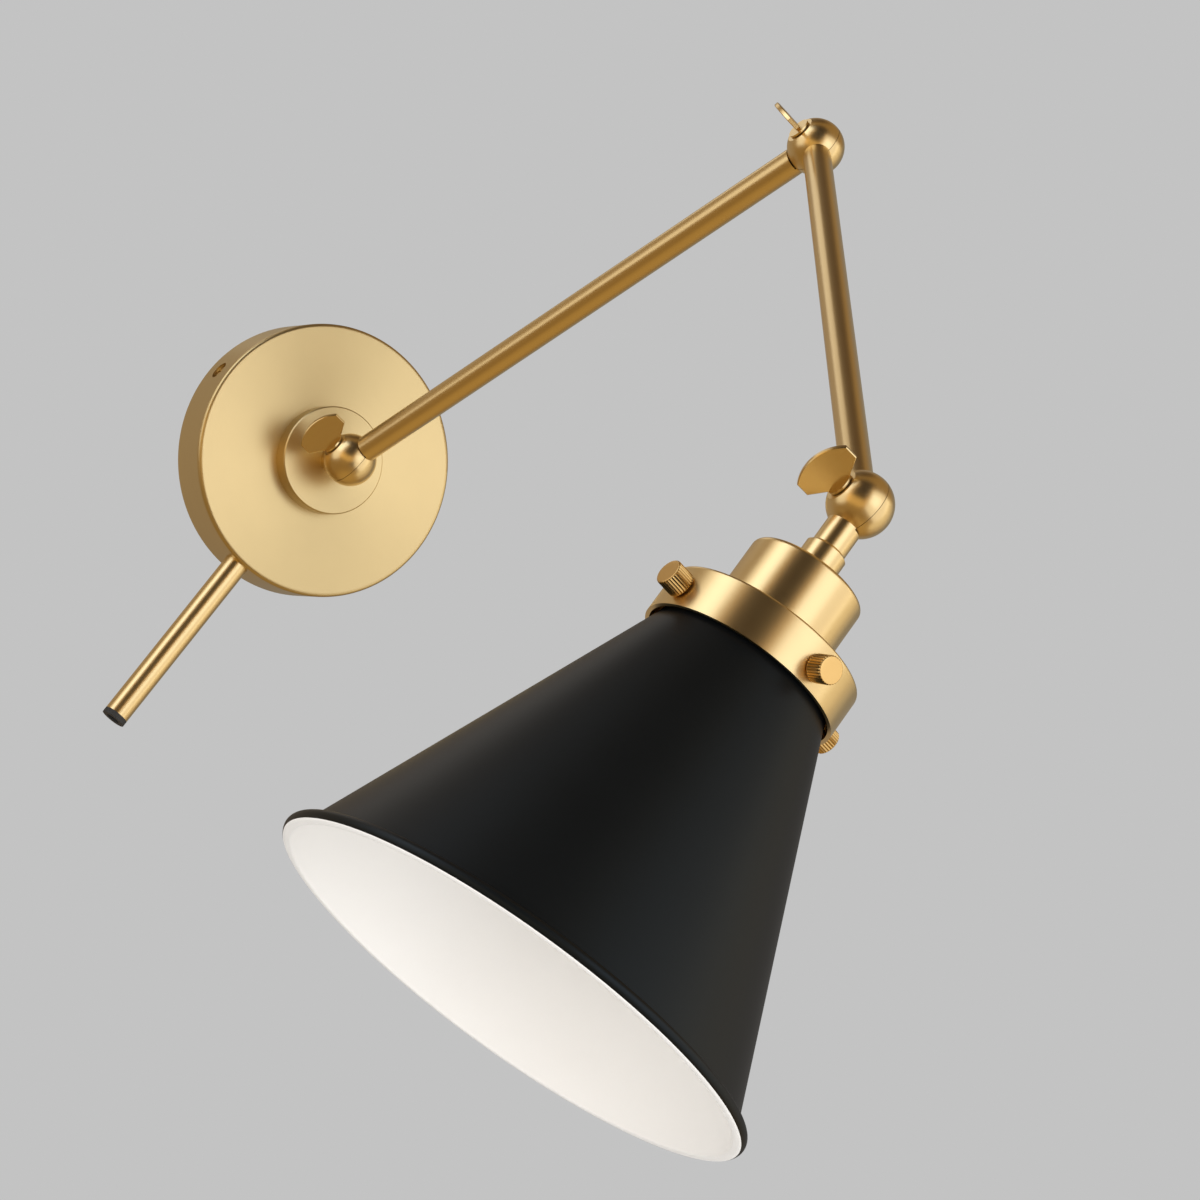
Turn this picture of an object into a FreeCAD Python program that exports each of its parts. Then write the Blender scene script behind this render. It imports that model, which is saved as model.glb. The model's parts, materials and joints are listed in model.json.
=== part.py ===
import FreeCAD, Part

import math
import os

# Wall sconce with two jointed arms and a cone shade. Millimetres and degrees.
# The origin is the centre of the back face, on the wall. +X is to the right
# of someone who faces the wall, +Y goes into the wall and +Z is up.

V = FreeCAD.Vector
ORIGIN = V(0, 0, 0)
X_AXIS = V(1, 0, 0)
Y_AXIS = V(0, 1, 0)
Z_AXIS = V(0, 0, 1)

# Clearances that all pieces share.
run_gap = 0.08
fit_gap = 0.05
open_gap = 0.3
overrun = 4.0

# Wall plate, a round cup that stands on the wall.
plate_r = 63.5
plate_depth = 25.5
plate_front_wall = 2.5
plate_side_wall = 3.5
plate_edge_r = 2.0

# Boss that turns on the plate's front, with its spindle, washer and nut.
boss_r = 25.0
boss_t = 8.5
boss_edge = 0.5
spindle_r = 5.0
spindle_end = 1.5
thin_washer_r = 9.0
thin_washer_t = 1.0
nut_flats = 14.0
nut_t = 4.0

# Bracket on the wall, with two ears that the side screws pull on.
bracket_t = 2.0
bracket_w = 22.0
bracket_hub_r = 18.0
bracket_wire_hole_r = 11.0
bracket_ear_inset = 1.5
bracket_ear_reach = 18.0
bracket_ear_w = 14.0
box_screw_spacing = 79.4
box_slot_run = 9.5
box_slot_r = 2.5
side_screw_y = 12.0
side_screw_r = 2.0
side_screw_reach = 7.0
side_head_r = 3.4
side_head_t = 1.2
side_recess_r = 4.4
side_recess_depth = 2.4
slot_w = 1.0
slot_depth = 0.7
ground_screw_x = 26.0
ground_head_r = 3.5
ground_head_t = 2.2
ground_foot_gap = 0.2

# Tube that covers the lead below the plate, and the bush at its lower end.
cover_r = 5.8
cover_bore_r = 4.8
cover_y = 17.0
cover_drop = 90.0
cover_socket = 13.0
cover_pad_r = 9.0
cover_pad_floor = 4.0
cover_lead_r = 3.2
grub_r = 1.5
grub_up = 6.0
bush_flange_t = 2.5
bush_plug = 9.0

# Knuckle: a ball cut in two halves that turn on each other about X.
ball_r = 12.1
cavity_r = 7.6
seam_x = 1.0
seam_gap = 0.2
cope_gap = 0.6
lead_r = 3.0
hub_r = 4.2
disc_in_r = 8.3
disc_out_r = 10.8
disc_t = 0.8
wall_ball_reach = 26.8

# Thumb key that clamps a knuckle.
key_seat = 10.6
key_collar_r = 4.8
key_collar_t = 0.9
key_shank_r = 2.0
key_clear_r = 3.3
key_shank_end = 8.4
key_hole_end = 9.2
wing_t = 2.0
wing_half_w = 11.1
wing_flare = 3.9
wing_straight = 5.4
wing_crown = 4.3
wing_bevel = 0.3
wall_key_turn = 57.0
elbow_key_turn = 152.9
head_key_turn = 50.7

# Arms: centre to centre lengths and how far each rises at rest.
tube_r = 5.9
tube_wall = 1.0
tube_plug = 9.0
lower_arm_len = 282.0
upper_arm_len = 313.7
lower_arm_rise = 37.4
upper_arm_rise = -39.3
head_rise = -88.5

# Stem, ferrule and cup over the lampholder. Lengths run from the ball centre.
stem_r = 6.5
stem_len = 20.8
ferrule_r = 7.9
ferrule_len = 12.2
ferrule_edge = 1.0
cup_r = 22.3
cup_len = 27.0
cup_wall = 1.5
cup_edge_r = 2.0

# Lampholder with its screw shell and centre contact.
holder_r = 19.3
holder_len = 45.0
holder_floor = 8.0
holder_chamber = 4.0
holder_chamber_r = 9.0
holder_grip = 4.5
shell_r = 13.9
shell_wall = 0.6
shell_len = 26.0
contact_r = 6.0
contact_t = 0.8
contact_tip_r = 2.5
contact_tip = 3.5

# Collar that carries the shade, its ring nut and its four thumbscrews.
collar_r = 38.0
collar_len = 17.0
collar_wall = 1.5
collar_edge_r = 1.2
ring_r = 25.0
ring_t = 4.5
thumb_count = 4
thumb_names = ("right", "front", "left", "rear")
thumb_turn = -6.2
thumb_drop = 9.6
thumb_head_r = 5.05
thumb_head_t = 7.8
thumb_head_gap = 0.4
thumb_head_edge = 0.4
thumb_shank_r = 2.0
thumb_tip_r = 1.5
thumb_tip_in = 2.0

# Shade: straight neck, cone and rolled rim.
neck_r = 33.8
neck_len = 12.5
shade_len = 151.8
shade_mouth_r = 89.5
shade_wall = 1.0
bead_r = 2.2
bead_out = 1.0


def cylinder(radius, start, length):
    return Part.makeCylinder(radius, length, V(0, 0, start), Z_AXIS)


def tube(outer_r, inner_r, start, length):
    outer = cylinder(outer_r, start, length)
    return outer.cut(cylinder(inner_r, start - overrun, length + 2 * overrun))


def hexagon(flats, start, length):
    corner_r = flats / math.sqrt(3)
    points = []
    for i in range(7):
        turn = math.radians(60 * i)
        points.append(V(corner_r * math.cos(turn), corner_r * math.sin(turn), start))
    return Part.Face(Part.makePolygon(points)).extrude(V(0, 0, length))


def box(corner, size):
    return Part.makeBox(size.x, size.y, size.z, corner)


def revolve(points):
    """Turn a closed outline, given as (radius, height) pairs, about Z."""
    wire = Part.makePolygon([V(r, 0, z) for r, z in points + points[:1]])
    return Part.Face(wire).revolve(ORIGIN, Z_AXIS, 360)


def aim(shape, centre, rise):
    """Turn local +Z to point out from the wall and up by rise, then move it."""
    placed = shape.copy()
    placed.rotate(ORIGIN, X_AXIS, 90 - rise)
    placed.translate(centre)
    return placed


def step_along(centre, rise, length):
    turn = math.radians(rise)
    return centre + V(0, -length * math.cos(turn), length * math.sin(turn))


wall_ball = V(0, -(plate_depth + wall_ball_reach), 0)
elbow_ball = step_along(wall_ball, lower_arm_rise, lower_arm_len)
head_ball = step_along(elbow_ball, upper_arm_rise, upper_arm_len)


def out_from_wall(shape):
    """Turn a shape built along +Z so that it points out from the wall."""
    return aim(shape, ORIGIN, 0)


# Wall plate and what it holds.

def plate_cup():
    inner_r = plate_r - plate_side_wall
    cup = cylinder(plate_r, 0, plate_depth)
    front = [e for e in cup.Edges if e.BoundBox.ZMin > plate_depth - fit_gap]
    cup = cup.makeFillet(plate_edge_r, front)
    hollow = cylinder(inner_r, -overrun, plate_depth - plate_front_wall + overrun)
    pad = Part.makeCylinder(
        cover_pad_r, cover_socket, V(0, -plate_r, cover_y), Y_AXIS
    ).common(cup)
    return cup.cut(hollow).fuse(pad)


def side_recess(side):
    floor = plate_r - side_recess_depth
    axis = V(side, 0, 0)
    recess = Part.makeCylinder(
        side_recess_r, side_recess_depth + overrun, V(side * floor, 0, side_screw_y), axis
    )
    hole_start = V(side * (plate_r - plate_side_wall - overrun), 0, side_screw_y)
    hole = Part.makeCylinder(side_screw_r + open_gap, plate_side_wall + overrun, hole_start, axis)
    return recess.fuse(hole)


def cover_bore():
    """Socket for the cover tube, a smaller hole for the lead and the grub's hole."""
    top = -plate_r + cover_socket - cover_pad_floor
    down = V(0, -1, 0)
    socket = Part.makeCylinder(
        cover_r + fit_gap, plate_r + overrun + top, V(0, top, cover_y), down
    )
    lead = Part.makeCylinder(
        cover_lead_r, cover_pad_floor + overrun, V(0, top, cover_y), Y_AXIS
    )
    grub = cylinder(grub_r + fit_gap, 0, cover_y)
    grub.translate(V(0, -plate_r + grub_up, 0))
    return socket.fuse(lead).fuse(grub)


def wall_plate():
    plate = plate_cup().cut(cylinder(spindle_r + run_gap, 0, plate_depth + overrun))
    for side in (-1, 1):
        plate = plate.cut(side_recess(side))
    return out_from_wall(plate.cut(cover_bore()))


def bracket_slot(side):
    half_run = box_slot_run / 2
    centre = side * box_screw_spacing / 2
    slot = box(
        V(centre - half_run, -box_slot_r, -overrun),
        V(box_slot_run, 2 * box_slot_r, bracket_t + 2 * overrun),
    )
    for end in (-half_run, half_run):
        cap = cylinder(box_slot_r, -overrun, bracket_t + 2 * overrun)
        cap.translate(V(centre + end, 0, 0))
        slot = slot.fuse(cap)
    return slot


def bracket_ear(side):
    ear_x = plate_r - plate_side_wall - bracket_ear_inset
    inner_x = ear_x - bracket_t
    near_x = inner_x if side > 0 else -ear_x
    ear = box(
        V(near_x, -bracket_ear_w / 2, 0), V(bracket_t, bracket_ear_w, bracket_ear_reach)
    )
    hole = Part.makeCylinder(
        side_screw_r, bracket_t + 2 * overrun,
        V(near_x - overrun, 0, side_screw_y), X_AXIS,
    )
    return ear.cut(hole)


def mounting_bracket():
    ear_x = plate_r - plate_side_wall - bracket_ear_inset
    strap = box(V(-ear_x, -bracket_ear_w / 2, 0), V(2 * ear_x, bracket_ear_w, bracket_t))
    middle = box(
        V(-box_screw_spacing / 2 - bracket_w / 2, -bracket_w / 2, 0),
        V(box_screw_spacing + bracket_w, bracket_w, bracket_t),
    )
    bracket = strap.fuse(middle).fuse(cylinder(bracket_hub_r, 0, bracket_t))
    bracket = bracket.cut(cylinder(bracket_wire_hole_r, -overrun, bracket_t + 2 * overrun))
    tapped = cylinder(side_screw_r, -overrun, bracket_t + 2 * overrun)
    tapped.translate(V(ground_screw_x, 0, 0))
    bracket = bracket.cut(tapped)
    for side in (-1, 1):
        bracket = bracket.cut(bracket_slot(side)).fuse(bracket_ear(side))
    return out_from_wall(bracket.removeSplitter())


def slotted_head(head_r, head_t, start):
    head = cylinder(head_r, start, head_t)
    rim = [e for e in head.Edges if e.BoundBox.ZMin > start + head_t - fit_gap]
    head = head.makeChamfer(head_t / 3, rim)
    slot = box(
        V(-head_r, -slot_w / 2, start + head_t - slot_depth),
        V(2 * head_r, slot_w, slot_depth + overrun),
    )
    return head.cut(slot)


def ground_screw():
    shank_len = bracket_t - ground_foot_gap
    screw = cylinder(side_screw_r - fit_gap, ground_foot_gap, shank_len)
    screw = screw.fuse(slotted_head(ground_head_r, ground_head_t, bracket_t))
    screw.translate(V(ground_screw_x, 0, 0))
    return out_from_wall(screw)


def side_screw(side):
    screw = cylinder(side_screw_r - fit_gap, -side_screw_reach, side_screw_reach)
    screw = screw.fuse(slotted_head(side_head_r, side_head_t, 0))
    screw.rotate(ORIGIN, Y_AXIS, side * 90)
    screw.translate(V(side * (plate_r - side_recess_depth), 0, side_screw_y))
    return out_from_wall(screw)


def plate_side_screws():
    return Part.makeCompound([side_screw(-1), side_screw(1)])


def cover_top_z():
    return -plate_r + cover_socket - cover_pad_floor


def cord_cover():
    length = cover_drop + plate_r + cover_top_z()
    cover = tube(cover_r, cover_bore_r, -plate_r - cover_drop, length)
    cover.translate(V(0, -cover_y, 0))
    return cover


def cord_bush():
    low = -plate_r - cover_drop
    bush = cylinder(cover_r, low - bush_flange_t, bush_flange_t)
    bush = bush.fuse(cylinder(cover_bore_r - fit_gap, low, bush_plug))
    drilled = cylinder(
        cover_lead_r, low - bush_flange_t - overrun, bush_flange_t + bush_plug + 2 * overrun
    )
    bush = bush.cut(drilled)
    bush.translate(V(0, -cover_y, 0))
    return bush


def cord_cover_grub():
    length = cover_pad_r - cover_r - fit_gap
    grub = cylinder(grub_r, cover_y - cover_pad_r, length)
    grub.translate(V(0, -plate_r + grub_up, 0))
    return out_from_wall(grub)


# Boss that turns on the plate.

def boss_disc():
    disc = cylinder(boss_r, plate_depth, boss_t)
    rim = [e for e in disc.Edges if e.BoundBox.ZMin > plate_depth + boss_t - fit_gap]
    disc = disc.makeChamfer(boss_edge, rim)
    bore = cylinder(spindle_r + fit_gap, plate_depth - overrun, boss_t + 2 * overrun)
    return out_from_wall(disc.cut(bore))


def swivel_washer():
    back = plate_depth - plate_front_wall - thin_washer_t
    return out_from_wall(tube(thin_washer_r, spindle_r + fit_gap, back, thin_washer_t))


def swivel_nut():
    back = plate_depth - plate_front_wall - thin_washer_t - nut_t
    nut = hexagon(nut_flats, back, nut_t)
    nut = nut.cut(cylinder(spindle_r + fit_gap, back - overrun, nut_t + 2 * overrun))
    return out_from_wall(nut)


# Knuckles. Local +Z is the axis of the tube or neck and X is the hinge.

def beyond_seam(side, face_x, reach):
    """All space on one side of a plane square to the hinge."""
    corner_x = face_x if side > 0 else face_x - reach
    return box(V(corner_x, -reach, -reach), V(reach, 2 * reach, 2 * reach))


def seam_face(side):
    return seam_x + side * seam_gap / 2


def other_half_space(side):
    """Room that a neck leaves round the half ball it isn't fixed to."""
    reach = ball_r + cope_gap
    room = Part.makeSphere(reach)
    return room.common(beyond_seam(-side, seam_face(side), 2 * reach))


def ball_half(side, neck):
    """Half ball with its neck, hollow for the lead. Side 1 is the tapped half."""
    ball = Part.makeSphere(ball_r).common(beyond_seam(side, seam_face(side), 2 * ball_r))
    half = ball.fuse(neck.cut(other_half_space(side)))
    half = half.cut(Part.makeSphere(cavity_r))
    half = half.cut(cylinder(lead_r, 0, neck.BoundBox.ZMax + overrun))
    return tapped_side(half) if side > 0 else keyed_side(half)


def tapped_side(half):
    face = seam_face(1)
    hub = Part.makeCylinder(hub_r, cavity_r - face + open_gap, V(face, 0, 0), X_AXIS)
    half = half.fuse(hub)
    hole = Part.makeCylinder(
        key_shank_r + run_gap, key_hole_end - face + overrun, V(face - overrun, 0, 0), X_AXIS
    )
    groove_depth = disc_t - seam_gap
    groove = Part.makeCylinder(disc_out_r + fit_gap, groove_depth, V(face, 0, 0), X_AXIS)
    inner = Part.makeCylinder(disc_in_r - fit_gap, groove_depth, V(face, 0, 0), X_AXIS)
    return half.cut(hole).cut(groove.cut(inner))


def keyed_side(half):
    """Flat under the key's collar, just clear of it, and the key's hole."""
    flat_x = -key_seat + open_gap
    flat = Part.makeCylinder(ball_r, overrun, V(flat_x - overrun, 0, 0), X_AXIS)
    hole = Part.makeCylinder(key_clear_r, ball_r + overrun, V(-ball_r, 0, 0), X_AXIS)
    return half.cut(flat).cut(hole)


def friction_disc(centre):
    face = seam_face(-1)
    disc = Part.makeCylinder(disc_out_r, disc_t, V(face, 0, 0), X_AXIS)
    disc = disc.cut(Part.makeCylinder(disc_in_r, disc_t, V(face, 0, 0), X_AXIS))
    return aim(disc, centre, 0)


def plug_neck():
    return cylinder(tube_r - tube_wall - fit_gap, 0, ball_r + tube_plug)


def tube_end_room(own_side):
    """What the end of a tube is coped away by: its own half and the other one."""
    return Part.makeSphere(ball_r + fit_gap).fuse(other_half_space(own_side))


def arm_tube(length, start_side, end_side):
    arm = tube(tube_r, tube_r - tube_wall, 0, length)
    arm = arm.cut(tube_end_room(start_side))
    end_room = tube_end_room(end_side)
    end_room.translate(V(0, 0, length))
    return arm.cut(end_room)


def wall_neck():
    """Keyed half of the wall knuckle, with the neck and the swivel spindle."""
    to_boss = wall_ball_reach - boss_t
    spindle_len = boss_t + plate_front_wall + thin_washer_t + nut_t + spindle_end
    neck = cylinder(stem_r, 0, to_boss)
    neck = neck.fuse(cylinder(spindle_r, 0, to_boss + spindle_len))
    return aim(ball_half(-1, neck), wall_ball, 180)


def lower_arm_wall_half():
    return aim(ball_half(1, plug_neck()), wall_ball, lower_arm_rise)


def lower_arm_tube():
    return aim(arm_tube(lower_arm_len, 1, 1), wall_ball, lower_arm_rise)


def lower_arm_elbow_half():
    return aim(ball_half(1, plug_neck()), elbow_ball, lower_arm_rise + 180)


def upper_arm_elbow_half():
    return aim(ball_half(-1, plug_neck()), elbow_ball, upper_arm_rise)


def upper_arm_tube():
    return aim(arm_tube(upper_arm_len, -1, 1), elbow_ball, upper_arm_rise)


def upper_arm_head_half():
    return aim(ball_half(1, plug_neck()), head_ball, upper_arm_rise + 180)


def key_wing():
    """Flat wing with flared shoulders and an arched crown, in the XZ plane."""
    root = -key_seat - key_collar_t
    shoulder = root - wing_flare
    corner = shoulder - wing_straight
    half_w = wing_half_w
    root_w = key_collar_r
    points = [
        V(corner, 0, half_w), V(shoulder, 0, half_w), V(root, 0, root_w),
        V(root, 0, -root_w), V(shoulder, 0, -half_w), V(corner, 0, -half_w),
    ]
    edges = Part.makePolygon(points).Edges
    crown = Part.Arc(points[-1], V(corner - wing_crown, 0, 0), points[0])
    face = Part.Face(Part.Wire(edges + [crown.toShape()]))
    wing = face.extrude(V(0, wing_t, 0))
    wing.translate(V(0, -wing_t / 2, 0))
    return bevelled(wing)


def bevelled(wing):
    root = -key_seat - key_collar_t
    flat_edges = []
    for edge in wing.Edges:
        bounds = edge.BoundBox
        along_face = bounds.YLength < fit_gap
        if along_face and bounds.XMin < root - fit_gap:
            flat_edges.append(edge)
    return wing.makeChamfer(wing_bevel, flat_edges)


def thumb_key(centre, turn):
    collar = Part.makeCylinder(key_collar_r, key_collar_t, V(-key_seat, 0, 0), V(-1, 0, 0))
    shank = Part.makeCylinder(key_shank_r, key_seat + key_shank_end, V(-key_seat, 0, 0), X_AXIS)
    return aim(key_wing().fuse(collar).fuse(shank), centre, turn)


# Head: stem, cup, lampholder, collar and shade. Local +Z runs down the shade.

cup_top = stem_len + ferrule_len
cup_foot = cup_top + cup_len
nut_top = cup_top + cup_wall
holder_top = nut_top + nut_t
holder_shoulder = holder_top + holder_floor + holder_chamber
collar_under = cup_foot + collar_wall
thumb_s = cup_foot + thumb_drop


def on_head(shape):
    return aim(shape, head_ball, head_rise)


def head_stem():
    """Keyed half of the head knuckle, with the stem and its threaded foot."""
    neck = cylinder(stem_r, 0, stem_len)
    neck = neck.fuse(cylinder(spindle_r, 0, holder_top + holder_grip))
    return on_head(ball_half(-1, neck))


def stem_ferrule():
    ferrule = cylinder(ferrule_r, stem_len, ferrule_len)
    rim = [e for e in ferrule.Edges if e.BoundBox.ZMax < stem_len + fit_gap]
    ferrule = ferrule.makeChamfer(ferrule_edge, rim)
    bore = cylinder(spindle_r + fit_gap, stem_len - overrun, ferrule_len + 2 * overrun)
    return on_head(ferrule.cut(bore))


def skirted_cup(outer_r, start, length, wall, edge_r, hole_r):
    """Round cap, open at its far end, with a rounded rim and a centre hole."""
    cap = cylinder(outer_r, start, length)
    rim = [e for e in cap.Edges if e.BoundBox.ZMax < start + fit_gap]
    cap = cap.makeFillet(edge_r, rim)
    cap = cap.cut(cylinder(outer_r - wall, start + wall, length + overrun))
    return cap.cut(cylinder(hole_r, start - overrun, wall + 2 * overrun))


def socket_cup():
    cup = skirted_cup(cup_r, cup_top, cup_len, cup_wall, cup_edge_r, spindle_r + fit_gap)
    return on_head(cup)


def socket_nut():
    nut = hexagon(nut_flats, nut_top, nut_t)
    nut = nut.cut(cylinder(spindle_r + fit_gap, nut_top - overrun, nut_t + 2 * overrun))
    return on_head(nut)


def lampholder_body():
    body = cylinder(holder_r, holder_top, holder_len)
    grip = cylinder(spindle_r + fit_gap, holder_top - overrun, overrun + holder_grip + fit_gap)
    lead = cylinder(lead_r, holder_top, holder_floor + overrun)
    chamber = cylinder(holder_chamber_r, holder_top + holder_floor, holder_chamber + overrun)
    bore = cylinder(shell_r + fit_gap, holder_shoulder, holder_len + overrun)
    return on_head(body.cut(grip).cut(lead).cut(chamber).cut(bore))


def screw_shell():
    shell = tube(shell_r, shell_r - shell_wall, holder_shoulder, shell_len)
    flange = tube(shell_r, holder_chamber_r, holder_shoulder, shell_wall)
    return on_head(shell.fuse(flange))


def centre_contact():
    seat = holder_top + holder_floor
    contact = cylinder(contact_r, seat, contact_t)
    tip = Part.makeCone(
        contact_tip_r, contact_tip_r / 2, contact_tip, V(0, 0, seat + contact_t), Z_AXIS
    )
    return on_head(contact.fuse(tip))


def collar_ring_nut():
    return on_head(tube(ring_r, holder_r + fit_gap, collar_under, ring_t))


def around_head(shape, index):
    """Turn a shape built along local +X to one of the thumbscrew places."""
    turned = shape.copy()
    turned.rotate(ORIGIN, Z_AXIS, thumb_turn + index * 360 / thumb_count)
    return turned


def radial_pin(radius, start, length):
    return Part.makeCylinder(radius, length, V(start, 0, thumb_s), X_AXIS)


def shade_collar():
    collar = skirted_cup(
        collar_r, cup_foot, collar_len, collar_wall, collar_edge_r, holder_r + open_gap
    )
    for index in range(thumb_count):
        hole = radial_pin(thumb_shank_r, collar_r / 2, collar_r)
        collar = collar.cut(around_head(hole, index))
    return on_head(collar)


def thumbscrew(index):
    head_start = collar_r + thumb_head_gap
    head = radial_pin(thumb_head_r, head_start, thumb_head_t)
    ends = [e for e in head.Edges if e.BoundBox.XLength < fit_gap]
    head = head.makeChamfer(thumb_head_edge, ends)
    shank_start = neck_r + open_gap
    shank = radial_pin(thumb_shank_r - run_gap, shank_start, head_start - shank_start)
    tip_start = neck_r - thumb_tip_in
    tip = radial_pin(thumb_tip_r, tip_start, shank_start - tip_start)
    return on_head(around_head(head.fuse(shank).fuse(tip), index))


def shade_skin(inset, extra):
    """Solid of revolution of the shade's outside, drawn in by the inset."""
    top = collar_under
    bend = top + neck_len
    foot = top + shade_len
    slope = (shade_mouth_r - neck_r) / (foot - bend)
    far = foot + extra
    points = [
        (0, top - extra), (neck_r - inset, top - extra), (neck_r - inset, bend),
        (neck_r - inset + slope * (far - bend), far), (0, far),
    ]
    return revolve(points)


def rim_bead():
    """Edge rolled outwards, with the flat lip that leads into the roll."""
    foot = collar_under + shade_len
    roll_r = shade_mouth_r + bead_out
    inner_r = shade_mouth_r - bead_r
    roll = Part.makeTorus(roll_r, bead_r, V(0, 0, foot - bead_r), Z_AXIS)
    lip = revolve([
        (inner_r, foot), (roll_r, foot), (roll_r, foot - bead_r), (inner_r, foot - bead_r),
    ])
    return roll.fuse(lip)


def shade():
    """Spun shell, open at both ends, with holes for the thumbscrew tips."""
    body = shade_skin(0, 0).fuse(rim_bead())
    body = body.cut(shade_skin(shade_wall, overrun))
    for index in range(thumb_count):
        hole = radial_pin(thumb_tip_r + open_gap, neck_r / 2, neck_r)
        body = body.cut(around_head(hole, index))
    return on_head(body)


def all_pieces():
    pieces = {
        "mounting_bracket": mounting_bracket(),
        "ground_screw": ground_screw(),
        "wall_plate": wall_plate(),
        "plate_side_screws": plate_side_screws(),
        "cord_cover": cord_cover(),
        "cord_cover_grub": cord_cover_grub(),
        "cord_bush": cord_bush(),
        "boss_disc": boss_disc(),
        "wall_neck": wall_neck(),
        "swivel_washer": swivel_washer(),
        "swivel_nut": swivel_nut(),
        "wall_friction_disc": friction_disc(wall_ball),
        "wall_key": thumb_key(wall_ball, wall_key_turn),
        "lower_arm_wall_half": lower_arm_wall_half(),
        "lower_arm_tube": lower_arm_tube(),
        "lower_arm_elbow_half": lower_arm_elbow_half(),
        "elbow_friction_disc": friction_disc(elbow_ball),
        "elbow_key": thumb_key(elbow_ball, elbow_key_turn),
        "upper_arm_elbow_half": upper_arm_elbow_half(),
        "upper_arm_tube": upper_arm_tube(),
        "upper_arm_head_half": upper_arm_head_half(),
        "head_friction_disc": friction_disc(head_ball),
        "head_key": thumb_key(head_ball, head_key_turn),
        "head_stem": head_stem(),
        "stem_ferrule": stem_ferrule(),
        "socket_cup": socket_cup(),
        "socket_nut": socket_nut(),
        "lampholder_body": lampholder_body(),
        "screw_shell": screw_shell(),
        "centre_contact": centre_contact(),
        "shade_collar": shade_collar(),
        "collar_ring_nut": collar_ring_nut(),
        "shade": shade(),
    }
    for index in range(thumb_count):
        pieces["thumbscrew_" + thumb_names[index]] = thumbscrew(index)
    return pieces


os.makedirs("parts", exist_ok=True)
for name, piece in all_pieces().items():
    piece.exportStep("parts/" + name + ".step")
    print(name, round(piece.Volume, 1), piece.isValid(), len(piece.Solids))
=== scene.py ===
# %% [markdown]
# # A wall sconce in satin brass with a black cone shade
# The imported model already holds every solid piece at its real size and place. This lesson adds
# the looks: the satin of turned brass, the two paints of the shade, the knurls of the
# thumbscrews and the thread inside the lampholder. Lengths are in metres, +Z is up and +Y goes
# into the wall.

# %% Load the frame
import json
import math

import bmesh
import bpy
from mathutils import Matrix, Vector


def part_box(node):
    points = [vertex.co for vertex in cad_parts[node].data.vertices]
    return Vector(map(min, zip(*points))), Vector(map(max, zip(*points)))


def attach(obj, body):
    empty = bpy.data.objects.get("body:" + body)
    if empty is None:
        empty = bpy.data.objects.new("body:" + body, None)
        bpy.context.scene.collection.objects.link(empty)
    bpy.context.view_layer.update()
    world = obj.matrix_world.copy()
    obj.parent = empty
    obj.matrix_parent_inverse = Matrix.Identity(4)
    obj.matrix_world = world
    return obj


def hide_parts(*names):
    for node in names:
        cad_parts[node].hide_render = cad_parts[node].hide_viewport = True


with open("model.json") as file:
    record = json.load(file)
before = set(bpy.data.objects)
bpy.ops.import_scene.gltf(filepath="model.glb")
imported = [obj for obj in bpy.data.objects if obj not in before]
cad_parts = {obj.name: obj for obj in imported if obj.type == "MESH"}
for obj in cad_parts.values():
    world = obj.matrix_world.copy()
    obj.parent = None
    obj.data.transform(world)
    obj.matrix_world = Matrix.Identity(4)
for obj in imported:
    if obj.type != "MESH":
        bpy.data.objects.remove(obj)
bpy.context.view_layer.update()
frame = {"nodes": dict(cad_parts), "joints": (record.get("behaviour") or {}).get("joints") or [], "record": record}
nodes = frame["nodes"]

MM = 0.001
X_AXIS = Vector((1, 0, 0))
Y_AXIS = Vector((0, 1, 0))
Z_AXIS = Vector((0, 0, 1))

# %% [markdown]
# ## Axes of the object
# Most pieces are turned on a lathe, so each finish needs to know the axis that its piece was
# turned about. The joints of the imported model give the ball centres, and two centres give the
# axis of the tube between them. The axis of the head runs from its ball down the lampholder.

# %% Ball centres and axes
joint_places = {joint["name"]: Vector(joint["pos_m"]) for joint in frame["joints"]}
joint_axes = {joint["name"]: Vector(joint["axis"]) for joint in frame["joints"]}
mounts = {mount["name"]: mount for mount in frame["record"]["mounts"]}

wall_ball = joint_places["wall_knuckle"]
elbow_ball = joint_places["elbow_knuckle"]
head_ball = joint_places["head_knuckle"]
lower_arm_axis = (elbow_ball - wall_ball).normalized()
upper_arm_axis = (head_ball - elbow_ball).normalized()
head_axis = Vector(mounts["lamp_socket"]["axis"]).normalized()
arms = [(elbow_ball - wall_ball).length, (head_ball - elbow_ball).length]
print("arms:", [round(length, 4) for length in arms])

# %% [markdown]
# ## The camera
# The photograph looks slightly up from the left with a long lens, and the picture is turned, so
# that the upright head leans. Heading is measured from the wall's normal, tilt from the
# horizontal, and the roll turns the camera about its own line of sight.

# %% Place the camera
camera_place = Vector((-0.526847, -1.630276, -0.485929))
camera_heading = math.radians(22.9445)
camera_tilt = math.radians(16.9263)
camera_roll = math.radians(-37.1677)
SENSOR = 36.0
LENS = 113.162


def camera_matrix(place, heading, tilt, roll):
    forward = Vector((
        math.sin(heading) * math.cos(tilt), math.cos(heading) * math.cos(tilt), math.sin(tilt)
    ))
    level_right = Vector((math.cos(heading), -math.sin(heading), 0))
    level_down = forward.cross(level_right)
    right = math.cos(roll) * level_right + math.sin(roll) * level_down
    down = math.cos(roll) * level_down - math.sin(roll) * level_right
    turn = Matrix((right, -down, -forward)).transposed()
    return Matrix.Translation(place) @ turn.to_4x4()


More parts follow.
